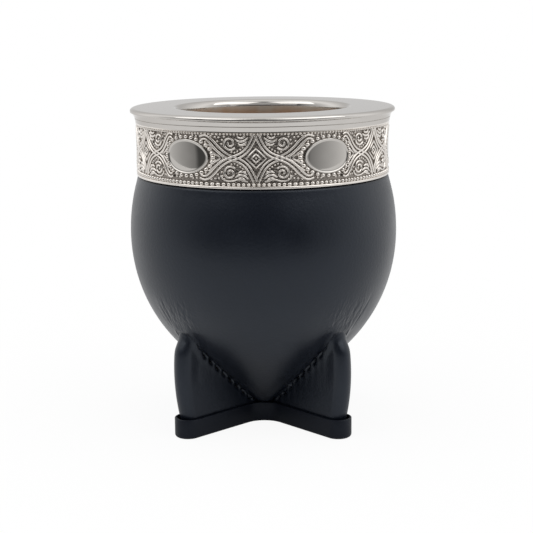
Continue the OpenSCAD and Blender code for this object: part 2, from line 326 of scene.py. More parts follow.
# %% Leather
black_leather, surface, place = new_finish("black_leather")
cloud = noise_at(place, 55.0, 4.0)
grain = noise_at(place, 1500.0, 3.0)
pores = node(place, "ShaderNodeTexVoronoi", {"Vector": place, "Scale": 1100.0}).outputs["Distance"]
dyed = two_tones(cloud, 0.3, 0.7, (0.0038, 0.0054, 0.0100), (0.0056, 0.0077, 0.0134))
gloss = math_node("ADD", ranged(cloud, 0.3, 0.7, 0.31, 0.39),
                  ranged(grain, 0.3, 0.7, -0.02, 0.02))
# Painted reflection colour: the blue specular tint gives the leather's reflections a bluish cast that stands
# in for bluish light.
fill(surface, {"Base Color": dyed, "Roughness": gloss, "Specular IOR Level": 0.41,
               "Specular Tint": (0.81, 0.89, 1.0, 1.0)})
split = axes(place)
sides = [math_node("ABSOLUTE", split[axis]) for axis in ("X", "Y")]
off_fin = math_node("ABSOLUTE", math_node("SUBTRACT", *sides))
near_fin = ranged(off_fin, 7 * MM, 14 * MM, 1.0, 0.0, smooth=True)
above = times(ranged(split["Z"], 30 * MM, 34 * MM, 0.0, 1.0, smooth=True),
              ranged(split["Z"], 38 * MM, 47 * MM, 1.0, 0.0, smooth=True))
pulled = noise_at(place, 1000.0, 2.0, (1.0, 1.0, 0.14))
marks = times(pulled, times(near_fin, above))
raised_by(surface, [(pores, 0.05 * MM), (grain, 0.04 * MM), (marks, 0.9 * MM)], 0.35)

# %% Thread and rubber
def clouded(surface, value, tones, rough, span=(0.3, 0.7)):
    """Let one pattern drive a finish's colour and its roughness."""
    fill(surface, {"Base Color": two_tones(value, *span, *tones),
                   "Roughness": ranged(value, 0.3, 0.7, *rough)})


waxed_thread, surface, place = new_finish("waxed_thread")
fibre = noise_at(place, 3000.0, 3.0)
waxed = (0.0025, 0.0027, 0.0035), (0.006, 0.0063, 0.0075)
clouded(surface, fibre, waxed, rough=(0.55, 0.75))
fill(surface, {"Specular IOR Level": 0.15})
raised_by(surface, [(fibre, 0.1 * MM)], 0.4)

satin_rubber, surface, place = new_finish("satin_rubber")
cloud = noise_at(place, 80.0, 4.0)
speck = noise_at(place, 2500.0, 2.0)
moulded = (0.0034, 0.0044, 0.0078), (0.0050, 0.0062, 0.0105)
clouded(surface, cloud, moulded, rough=(0.36, 0.46))
# Painted reflection colour: the blue specular tint gives the rubber's reflections a bluish cast that stands
# in for bluish light.
fill(surface, {"Specular IOR Level": 0.22, "Specular Tint": (0.80, 0.88, 1.0, 1.0)})
raised_by(surface, [(speck, 0.03 * MM)], 0.3)

# %% Bare gourd
bare_gourd, surface, place = new_finish("bare_gourd")
streak = noise_at(place, 260.0, 5.0, (1.0, 1.0, 0.16))
spot = noise_at(place, 700.0, 3.0)
mottled = math_node("ADD", times(streak, 0.7), times(spot, 0.3))
dried = (0.17, 0.095, 0.042), (0.50, 0.34, 0.18)
clouded(surface, mottled, dried, rough=(0.9, 0.7), span=(0.35, 0.68))
raised_by(surface, [(mottled, 0.6 * MM)], 0.6)

# %% [markdown]
# ## Turned pieces
# The mouth plate, the collar, the band's strip and the gourd are all round. On the lathe or by
# spinning sheet metal, each is one section turned about the axis, and Blender's spin does the
# same: a vertex is extruded from point to point into a closed wire, and the wire is spun.

# %% Draw a section and spin it
def select(active, *others):
    """Select pieces and nothing else; the first is the active one."""
    bpy.ops.object.select_all(action="DESELECT")
    for piece in (active, *others):
        piece.select_set(True)
    bpy.context.view_layer.objects.active = active


def edit():
    """Enter edit mode with everything selected."""
    bpy.ops.object.mode_set(mode="EDIT")
    bpy.ops.mesh.select_all(action="SELECT")


def leave_edit(smooth=0):
    """Leave edit mode; a piece may be shaded smooth up to an angle in degrees."""
    bpy.ops.object.mode_set(mode="OBJECT")
    if smooth:
        bpy.ops.object.shade_smooth_by_angle(angle=radians(smooth))


def close_up():
    """In edit mode: weld the mesh, and point its faces outward."""
    bpy.ops.mesh.select_all(action="SELECT")
    bpy.ops.mesh.remove_doubles(threshold=1e-7)
    bpy.ops.mesh.normals_make_consistent(inside=False)


def spun(name, section, steps=180):
    """Turn a closed half section, given in millimetres, about the cup's axis."""
    piece = added(bpy.ops.mesh.primitive_plane_add, size=MM)
    piece.name = name
    edit()
    bpy.ops.mesh.merge(type="CENTER")
    bpy.ops.transform.translate(value=(section[0][0] * MM, 0, section[0][1] * MM))
    for (r0, z0), (r1, z1) in zip(section, section[1:] + section[:1]):
        step = ((r1 - r0) * MM, 0, (z1 - z0) * MM)
        bpy.ops.mesh.extrude_vertices_move(TRANSFORM_OT_translate={"value": step})
    close_up()
    bpy.ops.mesh.select_all(action="SELECT")
    bpy.ops.mesh.spin(steps=steps, angle=2 * pi, center=(0, 0, 0), axis=(0, 0, 1))
    close_up()
    bpy.ops.mesh.delete_loose()
    leave_edit(smooth=40)
    return piece


def fit_out(piece, finish, nodes):
    """Give a piece its finish, its place on the body and the CAD nodes it stands for."""
    piece.data.materials.clear()
    piece.data.materials.append(finish)
    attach(piece, "root")
    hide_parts(*nodes)
    print(piece.name, len(piece.data.polygons), "faces")

# %% [markdown]
# ## Mouth plate
# A broad flat ring whose inner edge is rolled down into a short throat tube, and whose outer edge
# is rounded. A narrow upright land ends the round on both sides. It mirrors the dark opening as
# a thin line, which makes the edge look crisp. A point close beside each round keeps the flat
# face flat when it is shaded smooth.

# %% Mouth plate
plate_r, plate_t, neck_r, throat_t, throat_depth = 40.0, 0.8, 34.0, 0.8, 8.0
mouth_roll, roll_reach = 1.7, 1.664
round_r, round_reach, round_drop, edge_drop, land = 38.8, 1.1915, 0.826, 1.08, 0.16
plate_z, seat_z, throat_z = cup_top - plate_t, cup_top - mouth_roll, cup_top - throat_depth
roll_r, edge_z = mouth_r + mouth_roll, cup_top - edge_drop
section = [(mouth_r, throat_z), (mouth_r, throat_z + 3), (mouth_r, seat_z - 0.4),
           (mouth_r + 0.005, seat_z - 0.24)]
for turn in [radians(7 + 83 * k / 12) for k in range(13)]:
    section.append((roll_r - roll_reach * cos(turn), seat_z + mouth_roll * sin(turn)))
section += [(roll_r + 0.6, cup_top), (32.5, cup_top), (round_r - 0.3, cup_top)]
for turn in [radians(90 - 7 * k) for k in range(13)]:
    drop = round_drop * (1 - sin(turn))
    section.append((round_r + round_reach * cos(turn), cup_top - drop))
section += [(plate_r, edge_z), (plate_r - 0.05, edge_z - 0.12), (plate_r - 0.2, edge_z - land),
            (neck_r, edge_z - land), (neck_r, seat_z), (mouth_r + throat_t, seat_z),
            (mouth_r + throat_t, throat_z)]
mouth_plate = spun("rolled_mouth_plate", section)
fit_out(mouth_plate, polished_metal, ["mouth_plate"])

# %% [markdown]
# ## A light card for the plate
# From behind, the flat plate would mirror the tent's dark opening and turn black. A photographer
# holds a white card over the opening for that picture. Light linking does it here: the card is an
# area lamp above the opening that only the mouth plate receives.

# %% Light card
card = soft_lamp("light_card", (0, -1.2, 0.594), Vector((0, 0, cup_top * MM)), size=(2.9, 0.67), power=2.9)
lit_by_card = bpy.data.collections.new("lit_by_card")
lit_by_card.objects.link(mouth_plate)
card.light_linking.receiver_collection = lit_by_card

# %% [markdown]
# ## Collar
# A sleeve that hides behind the band, above it a strip that leans out a little, a fine joint line,
# and a hollow curve that flares out to the plate's edge. The curve is part of a circle through
# both its ends, hollowed by its sagitta.

# %% Collar
def arc(centre, radius, start, end, steps):
    """Points on an arc in the section plane, with angles in degrees."""
    turns = [radians(start + (end - start) * k / steps) for k in range(steps + 1)]
    return [(centre[0] + radius * cos(t), centre[1] + radius * sin(t)) for t in turns]


band_r, band_h, cove_h, lip_h = 38.4, 16.0, 3.4, 0.8
sleeve_in, sleeve_out, strip_r, joint_r, sag = 36.0, 36.8, 38.64, 38.52, 0.14
band_top = plate_z - cove_h
band_z = band_top - band_h
joint_z, flare_z = band_top + 1.25, edge_z - land
low, high = (strip_r + 0.04, joint_z + 0.2), (plate_r - 0.25, flare_z)
chord = dist(low, high)
hollow_r = ((chord / 2) ** 2 + sag ** 2) / (2 * sag)
out = ((high[1] - low[1]) / chord, (low[0] - high[0]) / chord)
middle = ((low[0] + high[0]) / 2, (low[1] + high[1]) / 2)
centre = [middle[k] + out[k] * (hollow_r - sag) for k in (0, 1)]
angles = [degrees(atan2(p[1] - centre[1], p[0] - centre[0])) % 360 for p in (low, high)]
section = [(sleeve_in, band_z + lip_h), (sleeve_out, band_z + lip_h), (sleeve_out, band_top),
           (band_r, band_top), (strip_r, joint_z - 0.04), (strip_r - 0.04, joint_z + 0.02),
           (joint_r, joint_z + 0.06), (joint_r, joint_z + 0.14)]
section += arc(centre, hollow_r, *angles, 12)
section += [(plate_r - 0.9, flare_z), (sleeve_in, band_top)]
collar = spun("hollow_collar", section)
fit_out(collar, polished_metal, ["flared_collar"])

# %% [markdown]
# ## Chased band: strip and ornament
# A silversmith chases the pattern into a flat strip with punches and then bends the strip into a
# ring. The same is done here. One sixth of the ornament is laid out flat on the bench: a star of
# crossing double ribbons, scrolls in the corners, rows of beads and a plain oval. The lines are
# curves with a raised section, and a single bead is modelled and copied. What one corner holds is
# turned over for the other three.

# %% Chase a line
ovals, bead_row, upper_lip = 6, 1.0, 0.4
band_mid = (band_z + lip_h + bead_row + band_top - upper_lip) / 2
period = 2 * pi * field_r / ovals
ornament = []


def curve_through(points, handles="AUTO"):
    """Add a curve through points in millimetres; return it with its knots."""
    curve = added(bpy.ops.curve.primitive_bezier_curve_add)
    knots = curve.data.splines[0].bezier_points
    knots.add(len(points) - len(knots))
    for knot, point in zip(knots, points):
        knot.co = [part * MM for part in point]
        knot.handle_left_type = knot.handle_right_type = handles
    return curve, knots


def chased_line(points, width, height, closed=False, sharp=False, taper=False):
    """Raise a rounded line along flat points, given in millimetres from the star's centre."""
    middle = (height - width / 2) / 2
    line, knots = curve_through([(u, v, middle) for u, v in points], "VECTOR" if sharp else "AUTO")
    line.data.splines[0].use_cyclic_u = closed
    if taper:
        for number, knot in enumerate(knots):
            knot.radius = 0.45 + 0.75 * sin(pi * (number + 0.3) / (len(points) - 0.4))
    line.data.resolution_u = 1 if sharp else 4
    line.data.twist_mode = "Z_UP"
    line.data.extrude = middle * MM
    line.data.bevel_depth = width / 2 * MM
    line.data.bevel_resolution = 1
    line.data.use_fill_caps = not closed
    bpy.ops.object.convert(target="MESH")
    ornament.append(line)


print("one sixth of the band:", round(period, 2), "mm")

# %% Ribbons, star and chevrons
quarters = [(across, upright) for across in (1, -1) for upright in (1, -1)]


def mirrored(points, across, upright):
    """Flat points turned over: left for right, top for bottom, or both."""
    return [(across * u, upright * v) for u, v in points]


def beside(points, shift):
    """Points moved sideways from a path, for the two lines of a ribbon."""
    moved = []
    for number, (u, v) in enumerate(points):
        before, after = points[max(number - 1, 0)], points[min(number + 1, len(points) - 1)]
        run = Vector((after[0] - before[0], after[1] - before[1])).normalized()
        moved.append((u - run.y * shift, v + run.x * shift))
    return moved


ribbon = [(-14.9, 5.35), (-13.6, 5.7), (-12.2, 4.7), (-10.5, 2.6), (-8.6, 0.95), (-6.4, 0.0),
          (-4.4, -0.8), (-2.6, -2.2), (-1.25, -4.3), (-0.25, -6.5)]
for quarter in quarters:
    for shift in (-0.5, 0.5):
        chased_line(beside(mirrored(ribbon, *quarter), shift), width=0.58, height=0.66)
chevron = [(-12.7, 3.7), (-11.3, 2.5), (-10.1, 1.2), (-9.1, 0.0)]
chevron += mirrored(reversed(chevron[:-1]), 1, -1)
inner_chevron = [(u - 0.85, 0.78 * v) for u, v in chevron[1:-1]]
for across in (1, -1):
    chased_line(mirrored(chevron, across, 1), width=0.50, height=0.58)
    chased_line(mirrored(inner_chevron, across, 1), width=0.46, height=0.52)
for half in (2.75, 1.25):
    diamond = [(half, 0), (0, half), (-half, 0), (0, -half)]
    chased_line(diamond, width=0.62, height=0.66, closed=True, sharp=True)
print("lines so far:", len(ornament))

# %% Scrolls and leaves
spiral = []
for k in range(19):
    turn, r = radians(-40 - 30 * k), 1.95 - 0.088 * k
    spiral.append((-7.3 + r * cos(turn), 4.15 + r * sin(turn)))
leaves = [[(-5.8, 5.3), (-4.7, 4.7), (-3.4, 4.8), (-2.2, 5.7)],
          [(-5.2, 6.0), (-4.4, 5.6), (-3.6, 5.7), (-3.0, 6.2)],
          [(-5.0, 4.1), (-4.2, 3.7), (-3.3, 3.9), (-2.5, 4.6)]]
for quarter in quarters:
    chased_line(mirrored(spiral, *quarter), width=0.60, height=0.64)
    for leaf in leaves:
        chased_line(mirrored(leaf, *quarter), width=0.64, height=0.64, taper=True)
border = [(-9.9, -4.9), (-8.8, -6.15), (-6.6, -6.35), (-4.9, -5.9), (-3.4, -6.3), (-2.3, -6.5)]
for across in (1, -1):
    chased_line(mirrored(border, across, 1), width=0.46, height=0.55)
print("lines in all:", len(ornament))

# %% One bead, and its copies
bead = added(bpy.ops.mesh.primitive_uv_sphere_add, segments=8, ring_count=6, radius=1.0)
edit()
bpy.ops.mesh.bisect(plane_co=(0, 0, -0.1), plane_no=(0, 0, 1), clear_inner=True, use_fill=True)
leave_edit()
print("faces of a bead:", len(bead.data.polygons))


def set_beads(places, size, height):
    """Copy the bead to flat places, given in millimetres from the star's centre."""
    for u, v in places:
        select(bead)
        bpy.ops.object.duplicate()
        copy = bpy.context.object
        copy.location = (u * MM, v * MM, 0)
        copy.scale = (size * MM, size * MM, height * MM)
        ornament.append(copy)


def bead_places(count, v):
    """Places of a straight row of beads along the strip."""
    return [(period * ((k + 0.5) / count - 0.5), v) for k in range(count)]


ring_turns = [2 * pi * k / 28 for k in range(28)]
ring = [(period / 2 + 8.0 * cos(turn), 5.5 * sin(turn)) for turn in ring_turns]
filler = [(-6.0, 1.55), (-5.2, 1.95), (-4.4, 2.4), (-3.7, 2.95), (-3.0, 3.7), (-6.9, 1.7), (-1.2, 6.0),
          (-9.6, 3.9), (-9.4, 5.0), (-8.9, 5.9), (-10.6, 4.6), (-11.2, 5.8), (-10.3, 5.7), (-12.2, 6.05),
          (-12.1, 1.6), (-11.2, 0.75), (-12.1, 0.45), (-13.3, 2.9), (-13.6, 4.3), (-16.2, 5.9), (-17.4, 6.0)]
set_beads(bead_places(42, 6.62), size=0.45, height=0.58)
set_beads(bead_places(28, -7.4), size=0.64, height=0.68)
set_beads(ring, size=0.70, height=0.68)
for quarter in quarters:
    set_beads(mirrored(filler, *quarter), size=0.36, height=0.45)
set_beads([(0, 0)], size=0.42, height=0.6)
bpy.data.objects.remove(bead)
print("pieces of ornament:", len(ornament))

# %% Oval
def raise_faces(height):
    """In edit mode: extrude the selected faces upward, by millimetres."""
    bpy.ops.mesh.extrude_region_move(TRANSFORM_OT_translate={"value": (0, 0, height * MM)})


oval_reach, oval_rise, oval_h = 7.05, 4.85, 0.52
frame_steps = ((0.10, 0.08), (0.12, 0.0), (0.11, -0.10), (0.09, -0.08))
dome_steps = ((0.92, 0.026), (0.85, 0.026), (0.8, 0.021), (0.7, 0.013), (0.5, 0.005))
oval_centre = (period / 2 * MM, 0, 0)
oval = added(bpy.ops.mesh.primitive_circle_add, vertices=56, radius=1.0, fill_type="NGON")
oval.scale = (oval_reach * MM, oval_rise * MM, 1.0)
oval.location = oval_centre
settle(location=True, scale=True)
edit()
raise_faces(oval_h)
for width, rise in frame_steps:
    bpy.ops.mesh.inset(thickness=width * MM)
    bpy.ops.transform.translate(value=(0, 0, rise * MM))
for shrink, rise in dome_steps:
    raise_faces(rise)
    bpy.ops.transform.resize(value=(shrink, shrink, 1), center_override=oval_centre)
leave_edit()
polish = oval.data.attributes.new("mirror", "FLOAT", "POINT")
polish.data.foreach_set("value", [1.0] * len(oval.data.vertices))
ornament.append(oval)
print("oval faces:", len(oval.data.polygons))

# %% [markdown]
# ## Bending the strip into a ring
# All flat pieces are joined, stood upright and bent by a Simple Deform modifier through the angle
# that their own length takes up on the ring. Six copies, each turned by a sixth, close the round.

# %% Bend the ornament
select(oval, *ornament)
bpy.ops.object.join()
sixth = bpy.context.object
settle(location=True, rotation=True, scale=True)
edit()
bpy.ops.mesh.normals_make_consistent(inside=False)
leave_edit()
sixth.rotation_euler[0] = pi / 2
settle(rotation=True)
reach = [vertex.co.x for vertex in sixth.data.vertices]
bend = sixth.modifiers.new("round_the_cup", "SIMPLE_DEFORM")
bend.deform_method = "BEND"
bend.deform_axis = "Z"
bend.angle = (max(reach) - min(reach)) / (field_r * MM)
bpy.ops.object.modifier_apply(modifier=bend.name)
sixth.location = (0, -field_r * MM, band_mid * MM)
settle(location=True)
radii = [vertex.co.to_2d().length / MM for vertex in sixth.data.vertices]
print("ornament radius:", round(min(radii), 2), "to", round(max(radii), 2), "mm")

# %% Close the ring
strip_in, ornament_turn = 36.9, -1.0
section = [(strip_in, band_z), (band_r - 0.3, band_z), (band_r - 0.1, band_z + 0.1),
           (band_r - 0.01, band_z + 0.3), (band_r - 0.01, band_z + 0.5), (band_r - 0.08, band_z + 0.72),
           (band_r - 0.2, band_z + lip_h), (field_r, band_z + lip_h + 0.05),
           (field_r, band_top - upper_lip - 0.05), (band_r - 0.1, band_top - upper_lip),
           (band_r, band_top - 0.3), (band_r, band_top), (strip_in, band_top)]
band = spun("chased_band_ring", section, 240)
sixths = [sixth]
for k in range(1, ovals):
    select(sixth)
    bpy.ops.object.duplicate()
    sixths.append(bpy.context.object)
for k, piece in enumerate(sixths):
    piece.rotation_euler[2] = radians(ornament_turn + 360 / ovals * k)
select(*sixths)
settle(rotation=True)
bpy.ops.object.shade_smooth_by_angle(angle=radians(50))
select(band, *sixths)
bpy.ops.object.join()
fit_out(band, chased_metal, ["chiselled_band"])

# %% [markdown]
# ## Uneven spacing
# Work that is punched by hand is not quite even: the two ovals in front stand a little further
# apart than a sixth of the round, while the star between them keeps its width. Scaling a motif
# would widen the star too, so the ring's points are turned about the axis by a smooth share that
# is nothing at the stars and full at the ovals. Every second gap narrows to make up for it.

# %% Uneven spacing
oval_shift = 1.9


def ramp(value, low, high):
    """Smooth step from 0 to 1."""
    t = max(0.0, min(1.0, (value - low) / (high - low)))
    return t * t * (3 - 2 * t)


def spread(turn):
    """Degrees by which an oval stands away from the front star, or from every second star."""
    from_star = (turn - ornament_turn + 60) % 120 - 60
    share = ramp(abs(from_star), 12, 24) * (1 - ramp(abs(from_star), 36, 48))
    return copysign(oval_shift * share, from_star)


for vertex in band.data.vertices:
    turn = degrees(atan2(vertex.co.x, -vertex.co.y))
    vertex.co = Matrix.Rotation(radians(spread(turn)), 3, "Z") @ vertex.co
front_ovals = [ornament_turn + side * 180 / ovals for side in (1, -1)]
print("front ovals at", [round(turn + spread(turn), 1) for turn in front_ovals], "degrees")

# %% [markdown]
# ## Gourd
# The gourd carries everything, but only its inside shows, down through the throat. Its outside
# keeps a small gap under the leather. Its hollow narrows from the belly to the bore along an arc.

# %% Shape of the belly
belly_r, belly_z, upper_arc, lower_arc = 40.8, cup_top - 38.0, 56.0, 49.79
keel = radians(46.5)
keel_z = belly_z - lower_arc * sin(keel)
keel_r = belly_r - lower_arc + lower_arc * cos(keel)


def belly_curve(z, inside=0.0):
    """Radius of the two side curves at a height, a distance inside the leather's surface."""
    side_arc = upper_arc if z >= belly_z else lower_arc
    return belly_r - side_arc + sqrt((side_arc - inside) ** 2 - (z - belly_z) ** 2)


def belly(z):
    """Radius over the leather at a height: the curves, and a straight keel down to the sole."""
    return belly_curve(z) if z >= keel_z else keel_r - (keel_z - z) * tan(keel)


print("belly", 2 * belly_r, "mm across, keel from", round(keel_z, 2), "mm down")

# %% Gourd
base_z, cave_z, neck_z, bore_z = 14.0, 20.5, band_z - 2.0, cup_top - 14.0
bore_r, skin_gap, hollow = 26.3, 1.8, 8.3
heights = [base_z + (neck_z - base_z) * k / 24 for k in range(25)]
section = [(0.0, base_z)] + [(belly_curve(z, skin_gap), z) for z in heights]
section += [(neck_r, neck_z), (neck_r, seat_z), (bore_r, seat_z), (bore_r, bore_z)]
cave_r = belly_r - hollow
narrowing = cave_r - bore_r
cave_arc = (narrowing + (bore_z - belly_z) ** 2 / narrowing) / 2
for k in range(1, 9):
    z = bore_z + (belly_z - bore_z) * k / 8
    section.append((cave_r - cave_arc + sqrt(cave_arc ** 2 - (z - belly_z) ** 2), z))
section += [(belly_curve(z, hollow), z) for z in (54, 48, 42, 36, 31, 27, 24, 22, cave_z)]
section += [(0.0, cave_z)]
gourd = spun("bare_gourd_shell", section, 96)
fit_out(gourd, bare_gourd, ["gourd"])

# %% [markdown]
# ## The leather sheath
# Wet leather is pulled over the gourd and pinched into four fins, which are sewn along the belly.
# No primitive comes near that shape, but its mesh can follow the leather: columns run from the
# sole up a fin's face, over the seam and up the belly, so that the seam is one row of the grid.
# A flat grid is laid out and wrapped round the last in code; then the seam is pressed in.

# %% The last that the leather is formed on
fin_half, foot_z, lip_z = 3.1, 3.6, 6.0
fin_reach, ridge_z, ridge_arc, top_pull, root_min = 36.0, 20.0, 55.0, 1.9, 4.5


def ridge(z):
    """Reach of a fin's ridge from the axis at a height; its top is pulled in towards the belly."""
    bowed = fin_reach - ridge_arc + sqrt(ridge_arc ** 2 - (z - ridge_z) ** 2)
    return bowed - top_pull * ramp(z, 26.0, 34.0)


def fin_root(z):
    """Distance along the fin at which its face comes out of the belly near the sole."""
    return sqrt(max(belly(min(z, lip_z)), root_min) ** 2 - fin_half ** 2)


def on_fin(column, z):
    """Point on a fin along +X: a kind of column and how far along it lies."""
    kind, t = column
    if kind == "roll":
        turn = t * pi / 2
        return (ridge(z) - fin_half + fin_half * cos(turn), fin_half * sin(turn))
    if kind == "face":
        x = fin_root(z) + (ridge(z) - fin_half - fin_root(z)) * abs(t)
        return (x, copysign(fin_half, t))
    edge = atan2(fin_half, fin_root(z))
    turn = edge + (pi / 2 - 2 * edge) * t
    return (belly(z) * cos(turn), belly(z) * sin(turn))


def highest(holds, steps):
    """Height between sole and belly up to which a test holds, by halving the range."""
    low, high = foot_z, belly_z
    for _ in range(steps):
        middle = (low + high) / 2
        low, high = (middle, high) if holds(middle) else (low, middle)
    return low


def seam_height(column):
    """Height at which a column leaves the fin for the belly."""
    if column[0] == "web":
        return lip_z
    return highest(lambda z: hypot(*on_fin(column, z)) > belly(z), steps=40)


print("a fin reaches", round(max(ridge(z) for z in range(4, 34)), 2), "mm from the axis")

# %% Columns and rows of the grid
face_steps, roll_steps, web_steps = 54, 7, 14
columns = [("face", -(k + 0.5) / face_steps) for k in range(face_steps)]
columns += [("roll", k / roll_steps) for k in range(-roll_steps, roll_steps + 1)]
columns += [("face", (k + 0.5) / face_steps) for k in reversed(range(face_steps))]
columns += [("web", (k + 0.5) / web_steps) for k in range(web_steps)]
seams = [seam_height(column) for column in columns]
fin_rows, belly_rows, shoulder_round = 30, 44, 0.9
shoulder_z = band_z - 0.2
print("columns:", 4 * len(columns), "top of a fin:", round(max(seams), 2), "mm")


def quarter_point(index, row):
    """Place of a grid point on the fin along +X, in millimetres; the rows crowd at the seam."""
    column, seam = columns[index], seams[index]
    if row <= fin_rows:
        z = foot_z + (seam - foot_z) * (1 - (1 - row / fin_rows) ** 1.7)
        return Vector((*on_fin(column, z), z))
    z = seam + (shoulder_z - shoulder_round - seam) * ((row - fin_rows) / belly_rows) ** 1.5
    x, y = on_fin(column, seam)
    even = radians(90 * (index - face_steps - roll_steps) / len(columns))
    evened = ramp(z, seam, belly_z)
    turn = atan2(y, x) * (1 - evened) + even * evened
    return Vector((belly(z) * cos(turn), belly(z) * sin(turn), z))

# %% Shoulder and tuck
tuck_r, tuck_h = 35.8, 11.0
corners = {"front_left": -135, "front_right": -45, "back_right": 45, "back_left": 135}
turns = list(corners.values())
shoulder_foot = shoulder_z - shoulder_round
tuck = arc((belly(shoulder_foot) - shoulder_round, shoulder_foot), shoulder_round, 18, 90, 4)
tuck += [(tuck_r + 0.6, shoulder_z), (tuck_r, shoulder_z + 0.4), (tuck_r, shoulder_z + 3.4),
         (tuck_r, shoulder_z + tuck_h)]


def sheath_point(number, row):
    """Place of a grid point on the whole sheath, in metres."""
    fin, index = divmod(number % (4 * len(columns)), len(columns))
    if row <= fin_rows + belly_rows:
        point = quarter_point(index, row)
    else:
        r, z = tuck[row - fin_rows - belly_rows - 1]
        top = quarter_point(index, fin_rows + belly_rows)
        turn = atan2(top.y, top.x)
        point = Vector((r * cos(turn), r * sin(turn), z))
    return Matrix.Rotation(radians(turns[fin]), 3, "Z") @ point * MM


print("the leather is tucked up to", round(shoulder_z + tuck_h, 2), "mm behind the band")

# %% Wrap the grid round the last
leather_t = 1.6
across, up = 4 * len(columns), fin_rows + belly_rows + len(tuck)
sheath = added(bpy.ops.mesh.primitive_grid_add, x_subdivisions=across, y_subdivisions=up, size=1)
sheath.name = "formed_leather_sheath"
for vertex in sheath.data.vertices:
    row, number = divmod(vertex.index, across + 1)
    vertex.co = sheath_point(number, row)
edit()
close_up()
leave_edit()
skin_points = len(sheath.data.vertices)
wall = sheath.modifiers.new("leather_thickness", "SOLIDIFY")
wall.thickness = leather_t * MM
wall.offset = -1.0
bpy.ops.object.modifier_apply(modifier=wall.name)
print("sheath points:", skin_points, "outside,", len(sheath.data.vertices), "in all")

# %% [markdown]
# ## Pressing in the seams
# Along each fin the leather meets the belly in a sharp sewn crease. The belly swells over it, the
# face below puckers under the stitches, a furrow sets the rolled ridge off from the flat face,
# and small folds fan out over the top of a fin. Each is a depth in millimetres along the skin's
# own normal. Then the top of the fin is softened, and last the stitches pull slits into the
# crease. A slit is steep on the belly's side, so that it stays dark.

# %% Where the stitches pull
stitch, stitches, seam_start = 1.75, 8, (7.90, 5.57)
fin_top_z, fin_end = 33.0, 30.5


def bell(distance, width):
    """Smooth bump that is 1 in the middle."""
    return exp(-(distance / width) ** 2)


def crease_height(x):
    """Height of the crease on the fin's face at a distance along the fin."""
    return highest(lambda z: belly(z) < hypot(x, fin_half), steps=30)


def past_seam(point):
    """Distance from the crease of a fin along +X: less than 0 on the fin's face, more on the belly."""
    crease = crease_height(point.x)
    if point.z < crease + 0.02 and abs(point.y) < fin_half + 0.05:
        return (point.z - crease) * sin(keel)
    return max(abs(point.y) - fin_half, 0.0)


def stitch_beat(point, fin):
    """Beat of the stitches at a point, from 0 to 1, and how far the hand strays there."""
    along = (hypot(point.x, fin_half) - seam_start[0]) / sin(keel)
    beat = 0.5 + 0.5 * cos(pi * (along / stitch - 1.5))
    return beat, noise.noise(Vector((along * 0.28, fin * 0.37, copysign(3.0, point.y))))


def sewn_share(x):
    """Share of the stitches' pull, which fades towards the fin's end."""
    return 1 - 0.9 * ramp(x, fin_end - 4.0, fin_end)


print("the crease rises from", seam_start[1], "to", round(crease_height(fin_end), 2), "mm")

# %% Depth of the swell, puckers and folds
pucker_depth = {-135: 0.04, -45: 0.12, 45: 0.08, 135: 0.06}
folds = {-135: [(-9.5, 0.16), (-6.5, 0.26), (-3.8, 0.20), (0.5, 0.24), (6.0, 0.14)],
         -45: [(-6.5, 0.12), (-1.5, 0.20), (2.2, 0.28), (5.2, 0.22), (8.5, 0.26)],
         45: [(-7.0, 0.20), (-3.5, 0.16), (1.0, 0.24), (6.0, 0.20)],
         135: [(-6.0, 0.22), (-1.0, 0.18), (3.0, 0.24), (8.0, 0.16)]}


def swell_and_puckers(point, fin):
    """Depth beside the seam: the belly swells out over it, and the face below puckers."""
    away = past_seam(point) + 0.2
    low = 1 - ramp(point.z, fin_top_z - 2.0, fin_top_z + 2.0)
    sewn = low * sewn_share(point.x)
    depth = -0.7 * low * ramp(point.x, fin_end - 3.0, fin_end + 0.5) * bell(away, 1.3)
    if away > 0:
        return depth - 0.30 * sewn * bell(away - 2.3, 1.4)
    beat, stray = stitch_beat(point, fin)
    pull = pucker_depth[fin] * sewn * beat * (1.0 + 0.5 * stray)
    return depth + pull * exp(away / 2.4) * ramp(-away, 0.0, 0.9)


def furrow(point, fin):
    """Depth of the furrow between a fin's rolled ridge and its flat face."""
    inward = ridge(point.z) - point.x
    held = ramp(point.z, 13.0, 21.0) * ramp(-past_seam(point), 0.6, 3.0)
    wander = 6.4 + 0.9 * noise.noise(Vector((fin * 0.1, point.y * 0.2, point.z * 0.14)))
    return held * (0.20 * bell(inward - wander, 2.2) + 0.14 * ramp(inward, 6.5, 10.0))


def top_folds(point, fin):
    """Depth of the dent in a fin's top and of the folds that fan out over it, by their bearings."""
    turn, over = degrees(atan2(point.y, point.x)), point.z - fin_top_z
    depth = 0.3 * bell(turn, 8.5) * ramp(over, -8.0, -2.5) * (1 - ramp(over, -2.0, 0.5))
    for number, (lean, deep) in enumerate(folds[fin]):
        middle = lean * (1 + 0.06 * over)
        end = 3.5 + 3.0 * (number * 7 % 5) / 4
        reach = ramp(over, -1.0, 2.0) * (1 - ramp(over, end, end + 5.0))
        depth += 0.55 * deep * reach * bell((turn - middle) * 0.58, 0.5)
    return depth


def pressed_depth(point, fin):
    """How far the skin is pressed in at a point on the fin along +X; less than 0 swells out."""
    if point.x < 5 or point.z > 58:
        return 0.0
    return swell_and_puckers(point, fin) + furrow(point, fin) + top_folds(point, fin)

# %% Press the skin
def fin_place(point):
    """Turn a point of the sheath into a fin's own axes, in millimetres, with that fin's bearing."""
    bearing = degrees(atan2(point.y, point.x))
    fin = min(turns, key=lambda turn: abs((bearing - turn + 180) % 360 - 180))
    return Matrix.Rotation(radians(-fin), 3, "Z") @ point / MM, fin


